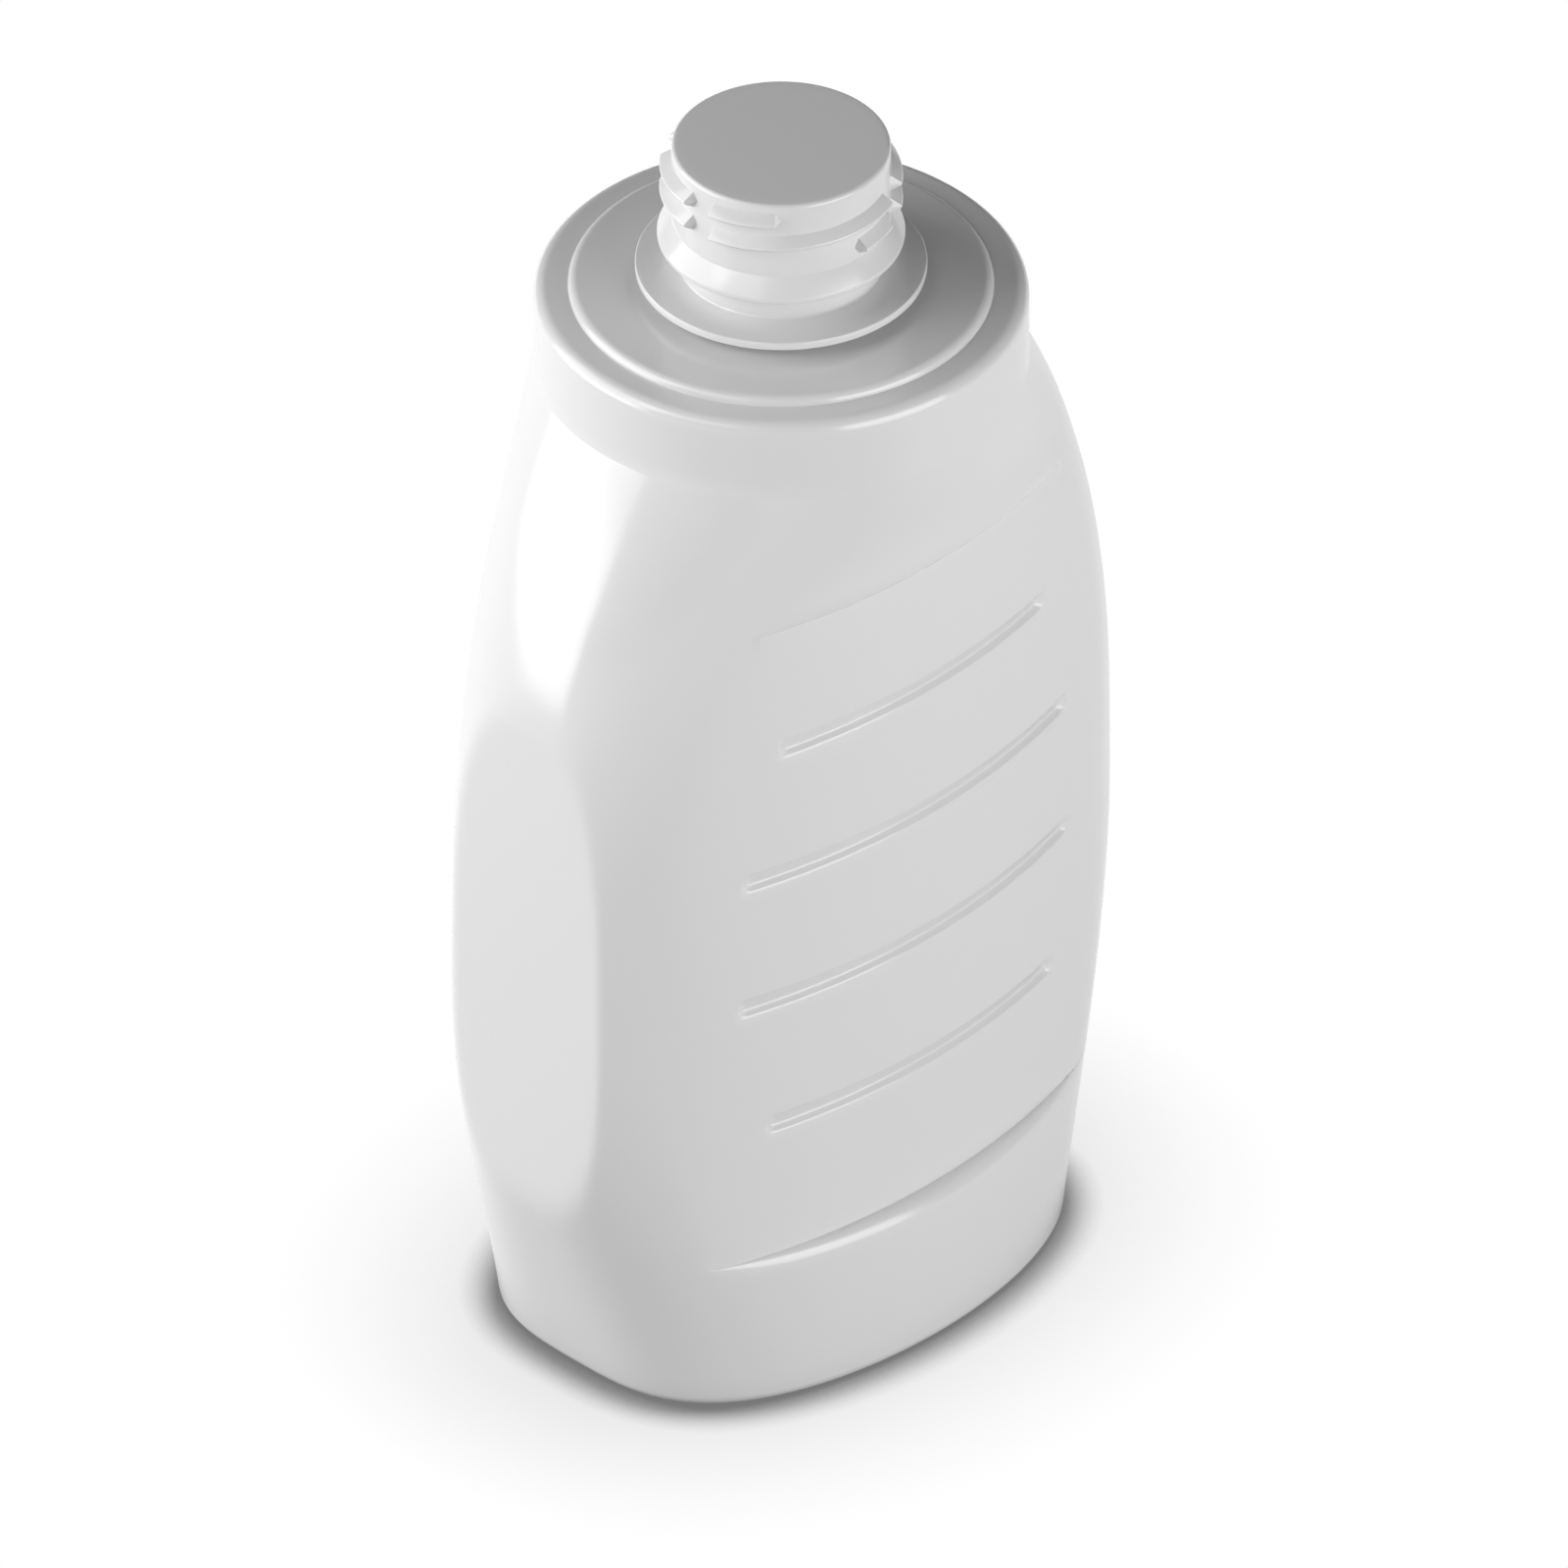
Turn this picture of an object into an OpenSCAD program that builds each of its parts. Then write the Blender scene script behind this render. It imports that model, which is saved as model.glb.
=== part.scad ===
/* [Body] */
// Height of the blown body, from the base to the foot of the collar
body_h = 123.1; // [112:0.1:135]
// Width of the foot of the body, left to right
base_w = 66.1; // [62:0.1:70]
// Depth of the foot of the body, front to back
base_d = 50.6; // [48:0.1:53]
// Width of the barrel at its fullest, before the two end flats are taken off
belly_w = 91.8; // [86:0.1:94]
// Depth of the barrel at its fullest, before the two grip panels are taken off
belly_d = 52.0; // [50:0.1:56]
// Height at which the barrel is fullest
belly_z = 53; // [46:0.5:64]
// Depth of the body just above the grip panels, where it is slimmest
brow_d = 50; // [48:0.1:52]
// Width across the two end flats
end_flat_w = 81.2; // [78:0.1:84]
// Thickness of the blown wall
wall = 1.0; // [0.7:0.05:1.4]
// Radius of the edge round the foot
foot_r = 1.6; // [1:0.1:2.5]
// Width of the ring that the bottle stands on
foot_ring = 3.4; // [3:0.1:6]
// Rise of the pushed-up middle of the base
push_up = 1.8; // [1:0.1:3]

/* [Grip] */
// Depth across the two grip panels at their middle
panel_gap = 47.2; // [45:0.1:48.5]
// Radius of the grip panels, seen from above
panel_r = 88; // [75:1:110]
// Height of the ledge at the foot of the grip panels
panel_foot = 20.45; // [16:0.05:26]
// Drop from the foot of the collar to the top of the grip panels
panel_drop = 17.1; // [14:0.1:20]
// Height of the rounded ledge under each grip panel
ledge_roll = 2.2; // [1.5:0.1:3]
// Height over which the body rolls in above each grip panel
brow_roll = 3.0; // [2:0.1:4.5]
// Number of finger grooves on each grip panel
groove_count = 4; // [2:1:5]
// Length of the longest finger groove
groove_len = 51; // [40:0.5:54]
// Height at which a finger groove would be longest
groove_mid = 61; // [55:0.5:68]
// Depth of each finger groove
groove_depth = 0.87; // [0.4:0.01:1.1]
// Height of the long flank above the bottom of a groove
groove_rise = 2.0; // [1.5:0.1:3]
// Tilt of the short flank below the bottom of a groove, in degrees from upright
groove_tilt = 51; // [35:1:60]
// Radius of the rounded lip under a groove
groove_lip = 1.28; // [0.8:0.01:1.4]
// Length of a groove's rounded ends
groove_end = 1.3; // [1:0.1:2]

/* [Collar and shoulder] */
// Diameter of the straight collar
collar_d = 56; // [53:0.1:58]
// Height of the straight collar, with its rounded rim
collar_h = 9.8; // [7:0.1:12]
// Radius of the collar's rim
rim_r = 1.5; // [0.8:0.1:2]
// Diameter of the raised pad on the shoulder
pad_d = 48.1; // [44:0.1:50]
// Rise of the pad over the shoulder, which is also the radius of its round edge
pad_rise = 1.0; // [0.6:0.05:1.4]

/* [Neck finish] */
// Height of the neck finish, from the shoulder pad to the sealed top
neck_h = 18.4; // [17.6:0.1:20]
// Outer diameter of the neck wall at the thread
neck_d = 24.8; // [24.4:0.05:25.4]
// Diameter of the pouring bore
bore_d = 21.7; // [20.8:0.1:22.2]
// Diameter of the support ledge
ledge_d = 33; // [31:0.1:35]
// Thickness of the support ledge
ledge_t = 1.0; // [0.8:0.05:1.4]
// Drop from the sealed top to the underside of the support ledge
ledge_drop = 17; // [16.6:0.1:17.6]
// Outer diameter of the slim wall between ledge and bead
waist_d = 23.1; // [22.8:0.05:24]
// Diameter of the locking bead
bead_d = 28; // [27.4:0.1:28.6]
// Drop from the sealed top to the widest edge of the bead
bead_drop = 11.7; // [11.2:0.1:12.2]
// Height of the bead's upper cone
bead_rise = 2.0; // [1.5:0.1:2.4]
// Height of the bead's straight edge
bead_edge = 0.7; // [0.4:0.05:1]

/* [Thread] */
// Height of the thread's crest over the neck wall
thread_h = 1.35; // [1.1:0.05:1.6]
// Pitch of the thread
thread_pitch = 3.15; // [2.8:0.01:3.4]
// Height of the thread's root on the neck wall
thread_root = 2.0; // [1.6:0.1:2.4]
// Drop from the sealed top to the crest where the thread starts
thread_drop = 7.9; // [7.4:0.1:8.2]
// Direction in which the thread starts, in degrees from the right
thread_start = 270; // [240:5:290]
// Angle that the thread runs through, in degrees
thread_turn = 672; // [540:6:680]
// Half of the opening that each venting gap leaves in the crest, in degrees
vent_half = 8; // [6:0.5:10]

/* [Mouth seal] */
// Thickness of the sealing disc on the mouth
seal_t = 0.8; // [0.5:0.05:1.2]
// Radius of the disc's upper edge
seal_r = 0.5; // [0.2:0.05:0.6]

/* [Hidden] */
$fn = 96;

// Columns in a quarter turn of the body, and how many of them cross half of a grip panel.
// The first few are spread over its middle, and the others crowd where the grooves end.
quarter = 20;
panel_columns = 10;
middle_columns = 3;
outer_n = 4 * quarter;
inner_n = outer_n / 2;
// Length over which the grooves of one panel end
groove_ends = 7.5;
// Blend between the barrel and a grip panel, and between the barrel and an end flat
panel_blend = 0.5;
end_blend = 0.9;
// Roundness of the barrel's section: 2 is an ellipse, more is squarer
foot_x_power = 1.98;
belly_x_power = 1.45;
brow_x_power = 2.32;
foot_y_power = 3.14;
belly_y_power = 2.32;
brow_y_power = 2.33;
// Slope of the barrel's sides and faces at the foot and under the collar
foot_slope = 0.163;
foot_face_slope = 0.026;
collar_slope = -0.554;
collar_face_slope = 0.077;
// The blown body ends this far inside the collar's two faces
lap = 0.03;
// Flare at the neck's foot and bevel under the locking bead
neck_flare = 0.8;
bead_bevel = 0.5;
// Fillet at the foot of the pouring bore
bore_fillet = 1;
// Width of the thread's flat crest, and how deep its root is sunk into the neck wall
crest_flat = 0.2;
root_sink = 0.25;
// Angle over which a run of thread slopes down at its end, and the step along it
end_slope = 4;
thread_step = 8;

panel_top = body_h - panel_drop;
brow_z = panel_top + brow_roll;
collar_r = collar_d / 2;
shoulder_z = body_h + collar_h;
pad_z = shoulder_z + pad_rise;
top_z = pad_z + neck_h;
land_z = top_z - seal_t;
groove_pitch = (panel_top - panel_foot) / (groove_count + 1);
groove_zs = [for (i = [1 : groove_count]) panel_foot + i * groove_pitch];

// A groove's short flank is straight at first and ends in the rounded lip
lip_depth = groove_lip * (1 - cos(groove_tilt));
lip_h = groove_lip * sin(groove_tilt);
flank_h = (groove_depth - lip_depth) / tan(groove_tilt);
groove_drop = flank_h + lip_h;
// How much shorter a groove gets with the square of its distance from groove_mid
groove_taper = 0.00706;

// A cubic from v0 at z0 to v1 at z1, with the slopes s0 and s1 at its ends
function sweep(z, z0, z1, v0, v1, s0, s1) =
    let (h = z1 - z0, t = (z - z0) / h)
    v0 * (2 * t * t * t - 3 * t * t + 1) + h * s0 * (t * t * t - 2 * t * t + t)
    + v1 * (3 * t * t - 2 * t * t * t) + h * s1 * (t * t * t - t * t);

// An S-shaped step from 0 at z0 to 1 at z1
function ease(z, z0, z1) =
    let (t = min(1, max(0, (z - z0) / (z1 - z0))))
    t * t * (3 - 2 * t);

// Half of the barrel's width and depth at a height
function half_w(z) = z < belly_z
    ? sweep(z, 0, belly_z, base_w / 2, belly_w / 2, foot_slope, 0)
    : sweep(z, belly_z, body_h, belly_w / 2, collar_r, 0, collar_slope);
function half_d(z) =
    z < belly_z ? sweep(z, 0, belly_z, base_d / 2, belly_d / 2, foot_face_slope, 0)
    : z < brow_z ? sweep(z, belly_z, brow_z, belly_d / 2, brow_d / 2, 0, 0)
    : sweep(z, brow_z, body_h, brow_d / 2, collar_r, 0, collar_face_slope);

// A power of the barrel's section at a height: the section turns round under the collar
function power(z, foot, belly, brow) =
    z < belly_z ? foot + (belly - foot) * ease(z, 0, belly_z)
    : z < brow_z ? belly + (brow - belly) * ease(z, belly_z, brow_z)
    : brow + (2 - brow) * ease(z, brow_z, body_h);

// Inset of the foot's rounded edge at a height
function foot_inset(z) = z < foot_r
    ? foot_r - sqrt(foot_r * foot_r - (foot_r - z) * (foot_r - z))
    : 0;

// The smaller of two sizes, with a soft change from one to the other
function soft_min(a, b, blend) =
    min(a, b) - (abs(a - b) < blend ? pow(blend - abs(a - b), 2) / (4 * blend) : 0);

// Distance of a grip panel from the middle plane
function panel_y(x) = panel_gap / 2 - panel_r + sqrt(panel_r * panel_r - x * x);

// Depth of a groove's upper and lower side, away from its bottom line by a share from 0 to 1
function upper_side(away) = groove_depth * (1 - away);
function lower_side(away) =
    let (below = away * groove_drop)
    below < flank_h
        ? groove_depth - below * tan(groove_tilt)
        : groove_lip - sqrt(groove_lip * groove_lip - pow(groove_drop - below, 2));

// Depth of one groove at a point of the panel, dz above its bottom line
function groove_at(x, dz, half) =
    let (past = max(0, abs(x) - half) / groove_end,
         off = dz > 0 ? dz / groove_rise : dz / groove_drop,
         away = sqrt(past * past + off * off),
         share = away > 0 ? (1 + off / away) / 2 : 1)
    away < 1 ? share * upper_side(away) + (1 - share) * lower_side(away) : 0;
function groove_half(z) = groove_len / 2 - groove_taper * pow(z - groove_mid, 2);
function grooves_at(x, z) =
    max([for (g = groove_zs) groove_at(x, z - g, groove_half(g))]);

// Where column k, counted from the middle of a face, crosses a grip panel
panel_edge = groove_len / 2 + groove_end;
ends_from = groove_len / 2 - groove_ends;
function column_x(k) = k < middle_columns
    ? ends_from * k / middle_columns
    : ends_from + (panel_edge - ends_from) * (k - middle_columns) / (panel_columns - middle_columns);

// Angle of that column round a section of half width a, even again at the collar
function column_angle(k, z, a) =
    let (x = column_x(min(k, panel_columns)),
         rest = k < panel_columns ? 1 : (quarter - k) / (quarter - panel_columns),
         level = acos(min(1, x / a)) * rest,
         even = 90 * (1 - k / quarter))
    level + (even - level) * ease(z, brow_z, body_h);

// One point of the body, i columns round from the right.
// A level is its height, its inset from the barrel, and the share of the panel's cut that it has.
function body_point(i, level) =
    let (z = level[0],
         inset = level[1],
         cut = level[2],
         a = half_w(z) - inset,
         b = half_d(z) - inset,
         k = abs(i % (2 * quarter) - quarter),
         c = cos(column_angle(k, z, a)),
         x = soft_min(a * c, end_flat_w / 2 - inset, end_blend),
         round_y = b * pow(max(0, 1 - pow(c, power(z, foot_x_power, belly_x_power, brow_x_power))),
                           1 / power(z, foot_y_power, belly_y_power, brow_y_power)),
         cut_y = round_y + cut * (soft_min(round_y, panel_y(x) - inset, panel_blend) - round_y),
         y = cut_y - (cut < 1 ? 0 : grooves_at(x, z)))
    [i > quarter && i < 3 * quarter ? -x : x, i > 2 * quarter ? -y : y, z];

// A ring of points at a level, with every point or every second one
function body_ring(level, step = 1) = [for (i = [0 : step : outer_n - 1]) body_point(i, level)];

// A ring of the base: the foot's outline, shrunk and raised
function base_ring(inset, share, rise, step = 1) =
    [for (p = body_ring([0, inset, 0], step)) [p[0] * share, p[1] * share, rise]];

// Rings of the pushed-up base, as shares of the standing ring's inner edge
dome_shares = [0.5, 0.8, 0.93, 1];
ring_share = 1 - foot_ring / (base_d / 2 - foot_r);
function dome(share) = push_up * (1 - pow(share, 4));

// Heights between two levels, without either
function between(low, high, count) = [for (i = [1 : count]) low + (high - low) * i / (count + 1)];

// Levels round the outside, from the foot up
roll_steps = [0, 22.5, 45, 67.5, 90];
groove_marks = [-groove_drop, -flank_h - lip_h / 2, -flank_h, 0, groove_rise];
panel_zs = concat(
    between(panel_foot, groove_zs[0] - groove_drop, 1),
    [for (g = groove_zs)
        each concat([for (mark = groove_marks) g + mark], between(g + groove_rise, g + groove_pitch, 1))]);
outer_levels = concat(
    [for (a = [30, 60, 90]) let (z = foot_r * (1 - cos(a))) [z, foot_inset(z), 0]],
    [for (z = between(foot_r, panel_foot - ledge_roll, 3)) [z, 0, 0]],
    [for (i = [4 : -1 : 0]) [panel_foot - ledge_roll * (1 - cos(roll_steps[i])), 0, 1 - sin(roll_steps[i])]],
    [for (z = panel_zs) [z, 0, 1]],
    [for (a = roll_steps) [panel_top + brow_roll * (1 - cos(a)), 0, 1 - sin(a)]],
    [for (z = between(brow_z, body_h, 5)) [z, 0, 0]],
    [[body_h, lap, 0]]);

// Levels round the inside, which follow the outside one wall further in
inner_levels = concat(
    [[foot_r + wall, wall, 0]],
    [for (z = between(foot_r + wall, panel_foot - ledge_roll - wall, 1)) [z, wall, 0]],
    [[panel_foot - ledge_roll - wall, wall, 0], [panel_foot - wall, wall, 1]],
    [for (g = groove_zs, dz = [-groove_drop - wall / 2, 0, groove_rise + wall / 2]) [g + dz, wall, 1]],
    [[panel_top + wall, wall, 1], [brow_z + wall, wall, 0]],
    [for (z = between(brow_z + wall, body_h, 3)) [z, wall, 0]],
    [[body_h, wall - lap, 0]]);

// Faces of the skin between two rings that start at points p and q, seen from outside
function skin(p, q, n) = [for (i = [0 : n - 1], half = [0, 1])
    let (j = (i + 1) % n)
    half == 0 ? [p + i, q + i, q + j] : [p + i, q + j, p + j]];
function flip(faces) = [for (f = faces) [for (k = [len(f) - 1 : -1 : 0]) f[k]]];

// The blown body: an outer and an inner skin, joined by a flat rim under the collar
module blown_body() {
    inner_foot = foot_r + wall;
    outer = concat(
        [for (s = dome_shares) base_ring(foot_r, ring_share * s, dome(s))],
        [base_ring(foot_r, 1, 0)],
        [for (level = outer_levels) body_ring(level)]);
    inner = concat(
        [for (s = dome_shares) base_ring(inner_foot, ring_share * s, wall + dome(s), 2)],
        [base_ring(inner_foot, 1, wall, 2)],
        [for (level = inner_levels) body_ring(level, 2)]);
    start_in = len(outer) * outer_n;
    last_out = start_in - outer_n;
    last_in = start_in + (len(inner) - 1) * inner_n;
    points = concat([for (ring = outer) each ring], [for (ring = inner) each ring]);
    faces = concat(
        [[for (i = [0 : outer_n - 1]) i]],
        [for (r = [0 : len(outer) - 2]) each skin(r * outer_n, (r + 1) * outer_n, outer_n)],
        [[for (i = [inner_n - 1 : -1 : 0]) start_in + i]],
        [for (r = [0 : len(inner) - 2])
            each flip(skin(start_in + r * inner_n, start_in + (r + 1) * inner_n, inner_n))],
        [for (i = [0 : inner_n - 1])
            let (a = last_out + 2 * i,
                 b = last_out + 2 * i + 1,
                 c = last_out + (2 * i + 2) % outer_n,
                 p = last_in + i,
                 q = last_in + (i + 1) % inner_n)
            each [[a, p, b], [p, q, b], [b, q, c]]]);
    polyhedron(points, faces, convexity = 8);
}

// Points of an arc about [x, y]
function arc(x, y, r, from, to, steps) =
    [for (i = [0 : steps]) let (a = from + (to - from) * i / steps) [x + r * cos(a), y + r * sin(a)]];

// Section of the collar, shoulder and neck, turned about the bottle's axis
module neck_section() {
    neck_r = neck_d / 2;
    bore_r = bore_d / 2;
    waist_r = waist_d / 2;
    bead_r = bead_d / 2;
    rim_in = collar_r - wall;
    ledge_z = top_z - ledge_drop;
    ledge_top = ledge_z + ledge_t;
    bead_z = top_z - bead_drop;
    edge_z = bead_z - bead_edge;
    ceiling_z = shoulder_z - wall;
    polygon(concat(
        [[collar_r, body_h]],
        arc(collar_r - rim_r, shoulder_z - rim_r, rim_r, 0, 90, 6),
        arc(pad_d / 2 - pad_rise, shoulder_z, pad_rise, 0, 90, 3),
        [[neck_r + neck_flare, pad_z], [neck_r, pad_z + neck_flare], [neck_r, ledge_z]],
        [[ledge_d / 2, ledge_z], [ledge_d / 2, ledge_top], [waist_r, ledge_top]],
        [[waist_r, edge_z - bead_bevel], [bead_r - bead_bevel, edge_z], [bead_r, edge_z], [bead_r, bead_z]],
        [[neck_r, bead_z + bead_rise], [neck_r, land_z], [bore_r, land_z]],
        arc(bore_r + bore_fillet, ceiling_z + bore_fillet, bore_fillet, 180, 270, 4),
        arc(rim_in - rim_r, ceiling_z - rim_r, rim_r, 90, 0, 4),
        [[rim_in, body_h]]));
}

// One run of thread between two angles, with ends that slope down into the neck wall
module thread_run(from, to) {
    steps = max(2, ceil((to - from) / thread_step));
    root_r = neck_d / 2 - root_sink;
    crest_r = neck_d / 2 + thread_h;
    sink = thread_root / 2 * (1 + root_sink / thread_h);
    start_z = top_z - thread_drop;
    function at(r, a, z) = [r * cos(a), r * sin(a), z];
    function rise(a) = start_z + thread_pitch * (a - thread_start) / 360;
    section = [[root_r, -sink], [crest_r, -crest_flat / 2], [crest_r, crest_flat / 2], [root_r, sink]];
    angles = [for (i = [0 : steps]) from + (to - from) * i / steps];
    points = concat(
        [for (a = angles, p = section) at(p[0], a, rise(a) + p[1])],
        [at(root_r, from - end_slope, rise(from)), at(root_r, to + end_slope, rise(to))]);
    first = 4 * (steps + 1);
    last = 4 * steps;
    faces = concat(
        [for (s = [0 : steps - 1], k = [0 : 3], half = [0, 1])
            let (p = 4 * s + k, q = 4 * s + (k + 1) % 4)
            half == 0 ? [p, q, q + 4] : [p, q + 4, p + 4]],
        [for (k = [0 : 3]) [first, (k + 1) % 4, k]],
        [for (k = [0 : 3]) [first + 1, last + k, last + (k + 1) % 4]]);
    polyhedron(points, faces, convexity = 4);
}

// The thread, broken by four venting gaps in each turn
module thread() {
    thread_end = thread_start + thread_turn;
    gaps = [for (lap_start = [0 : 360 : 1080], gap = [0, 120, 180, 300])
        if (lap_start + gap > thread_start + end_slope && lap_start + gap < thread_end - end_slope)
            lap_start + gap];
    starts = concat([thread_start], [for (g = gaps) g + vent_half]);
    ends = concat([for (g = gaps) g - vent_half], [thread_end]);
    for (i = [0 : len(starts) - 1])
        if (ends[i] - starts[i] > end_slope) thread_run(starts[i], ends[i]);
}

module bottle() {
    color("white") union() {
        rotate_extrude() neck_section();
        thread();
        blown_body();
    }
}

// The disc welded over the mouth, flush with the neck wall
module mouth_seal() {
    color("white") rotate_extrude() polygon(concat(
        [[0, land_z], [neck_d / 2, land_z]],
        arc(neck_d / 2 - seal_r, top_z - seal_r, seal_r, 0, 90, 5),
        [[0, top_z]]));
}

bottle();
mouth_seal();
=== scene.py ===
import math

import bpy
import numpy as np
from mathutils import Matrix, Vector


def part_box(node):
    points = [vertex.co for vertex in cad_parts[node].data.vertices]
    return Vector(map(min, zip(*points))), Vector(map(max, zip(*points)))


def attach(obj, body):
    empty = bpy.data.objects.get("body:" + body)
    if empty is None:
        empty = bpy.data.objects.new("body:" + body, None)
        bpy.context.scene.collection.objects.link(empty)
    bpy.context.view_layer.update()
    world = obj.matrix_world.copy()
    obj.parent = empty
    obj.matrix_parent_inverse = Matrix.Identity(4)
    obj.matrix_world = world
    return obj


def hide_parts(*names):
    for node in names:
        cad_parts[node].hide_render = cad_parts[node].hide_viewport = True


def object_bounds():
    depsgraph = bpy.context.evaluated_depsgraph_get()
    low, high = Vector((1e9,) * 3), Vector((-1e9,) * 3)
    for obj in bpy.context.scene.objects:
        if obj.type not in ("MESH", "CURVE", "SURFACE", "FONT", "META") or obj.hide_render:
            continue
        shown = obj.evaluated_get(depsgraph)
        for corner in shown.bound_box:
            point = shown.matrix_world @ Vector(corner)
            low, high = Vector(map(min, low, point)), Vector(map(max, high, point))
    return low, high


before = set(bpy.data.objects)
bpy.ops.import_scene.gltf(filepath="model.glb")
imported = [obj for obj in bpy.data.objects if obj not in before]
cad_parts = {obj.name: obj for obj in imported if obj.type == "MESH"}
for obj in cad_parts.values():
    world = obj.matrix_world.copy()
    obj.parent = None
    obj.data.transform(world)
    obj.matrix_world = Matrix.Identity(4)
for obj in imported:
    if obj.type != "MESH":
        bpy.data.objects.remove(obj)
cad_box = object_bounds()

bl_info = {
    "name": "Squeeze bottle",
    "version": (1, 0, 0),
    "blender": (4, 5, 0),
    "location": "View3D > Sidebar > Bottle",
    "description": "Skins the packed squeeze bottle in moulded plastic and sets it on a white floor",
    "category": "Add Mesh",
}

MM = 0.001
BOTTLE_LOW, BOTTLE_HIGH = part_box("bottle")
SEAL_LOW, SEAL_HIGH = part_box("mouth_seal")

# Columns in a quarter turn of the bottle, and how many of them cross half of a grip panel
QUARTER = 72
PANEL_COLUMNS = 36
RING = 4 * QUARTER
MIDDLE_COLUMNS = 8
# Distances from the panel's middle between which the grooves end
GROOVE_ENDS = (17 * MM, 27 * MM)
# Points that a quarter of a section is worked out with, before its columns are picked
SECTION_POINTS = 900
# Heights over which the columns go from evenly spaced to level, and back
LEVEL_FROM = (1 * MM, 12 * MM)
EVEN_FROM = (108 * MM, 120 * MM)
# Largest gaps between rings on the body and under the collar
BODY_GAP = 2 * MM
BROW_GAP = 1.4 * MM
# Distance of a support ring from the edge that it keeps crisp
SUPPORT = 0.1 * MM
# Edges sharper than this are drawn sharp
SHARP_ANGLE = math.radians(34)
# Shortest stretch of thread that is made, in degrees
SHORTEST_RUN = 4
# Distances of the lamps and the camera, and the height that the lamps face
LAMP_REACH = 0.7
LAMP_AIM_Z = 0.07
CAMERA_REACH = 0.8


def length(name, description, millimetres):
    """A length that the sidebar shows, given in millimetres."""
    return bpy.props.FloatProperty(
        name=name, description=description, default=millimetres * MM, unit="LENGTH", precision=5)


def number(name, description, value):
    """A plain number that the sidebar shows."""
    return bpy.props.FloatProperty(name=name, description=description, default=value, precision=4)


def angle(name, description, degrees):
    """An angle that the sidebar shows, given in degrees."""
    return bpy.props.FloatProperty(
        name=name, description=description, default=math.radians(degrees), subtype="ANGLE")


def tint(name, description, value):
    """A colour that the sidebar shows, given as an sRGB hex value."""
    return bpy.props.FloatVectorProperty(
        name=name, description=description, default=linear(value), subtype="COLOR", size=3, min=0, max=1)


def linear(hex_value):
    """An sRGB hex value as linear red, green and blue."""
    channels = [int(hex_value[i:i + 2], 16) / 255 for i in (1, 3, 5)]
    return tuple(c / 12.92 if c <= 0.04045 else ((c + 0.055) / 1.055) ** 2.4 for c in channels)


class BodySizes(bpy.types.PropertyGroup):
    """Sizes of the blown body."""
    height: length("Height", "From the base to the foot of the collar", 123.1)
    foot_half_w: length("Foot half width", "Half of the foot, left to right", 33.04)
    foot_half_d: length("Foot half depth", "Half of the foot, front to back", 25.28)
    belly_half_w: length("Belly half width", "Half of the barrel before its ends are flattened", 45.89)
    belly_half_d: length("Belly half depth", "Half of the barrel before its faces are cut", 26.0)
    belly_z: length("Belly height", "Where the barrel is fullest", 53.0)
    brow_half_d: length("Brow half depth", "Half of the body just over the grip panels", 25.0)
    brow_z: length("Brow height", "Where the body over the grip panels is slimmest", 109.0)
    end_blend: length("End blend", "Softness of the edge round an end flat", 0.6)
    wall: length("Wall", "Thickness of the blown wall", 1.0)
    foot_r: length("Foot edge", "Radius of the edge round the foot", 1.6)
    ring_share: number("Foot ring", "Where the standing ring ends, as a share of the foot", 0.86)
    push_up: length("Push-up", "Rise of the pushed-up middle of the base", 1.8)
    foot_slope: number("Foot slope", "Slope of the barrel's sides at the foot", 0.163)
    foot_slope_d: number("Foot slope, faces", "Slope of the barrel's faces at the foot", 0.026)
    collar_slope: number("Collar slope", "Slope of the barrel's sides under the collar", -0.554)
    collar_slope_d: number("Collar slope, faces", "Slope of the barrel's faces under the collar", 0.077)
    foot_power_w: number("Foot width power", "Roundness of the foot across its ends", 1.98)
    foot_power_d: number("Foot depth power", "Roundness of the foot across its faces", 3.14)
    belly_power_w: number("Belly width power", "Roundness of the belly across its ends", 1.45)
    belly_power_d: number("Belly depth power", "Roundness of the belly across its faces", 2.32)
    brow_power_w: number("Brow width power", "Roundness at the brow across its ends", 2.32)
    brow_power_d: number("Brow depth power", "Roundness at the brow across its faces", 2.33)


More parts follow.
